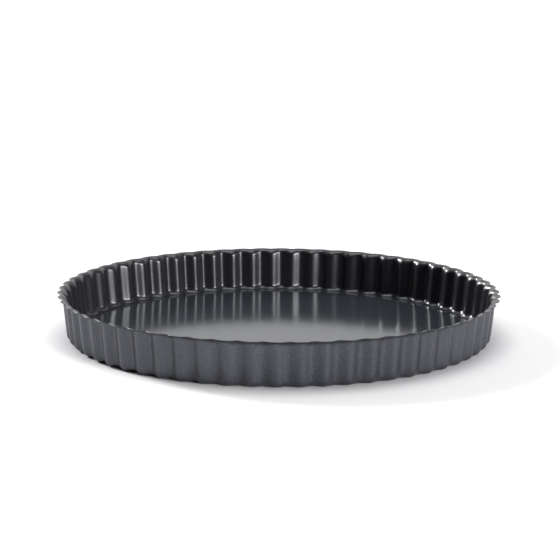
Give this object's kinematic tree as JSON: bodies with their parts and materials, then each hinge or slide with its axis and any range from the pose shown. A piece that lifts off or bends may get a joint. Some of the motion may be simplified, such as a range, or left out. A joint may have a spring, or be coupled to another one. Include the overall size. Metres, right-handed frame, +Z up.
{
  "type": "fluted tart tin",
  "caption": "Shallow round baking tin with a fluted, outward-leaning wall, a turned-out rim and a flat loose base that lifts out.",
  "frame": {"origin": "middle of the tin on the surface that it stands on", "axes": "+Z up along the tin's axis of symmetry; +X through the crest of a flute's outward bulge"},
  "size_m": [0.28, 0.28, 0.0285],
  "materials": {
    "ring_coating": "satin dark grey coating with a fine grain outside, and a darker, glossier non-stick coating inside, on steel sheet",
    "base_coating": "smooth, more glossy dark grey non-stick coating on steel sheet"
  },
  "bodies": {
    "ring": {"fluted_ring": "ring_coating"},
    "base": {"loose_base": "base_coating"}
  },
  "joints": [
    {"name": "base_lift", "type": "slide", "parent": "ring", "child": "base", "axis": [0, 0, 1], "range_m": [0, 0.04]}
  ]
}
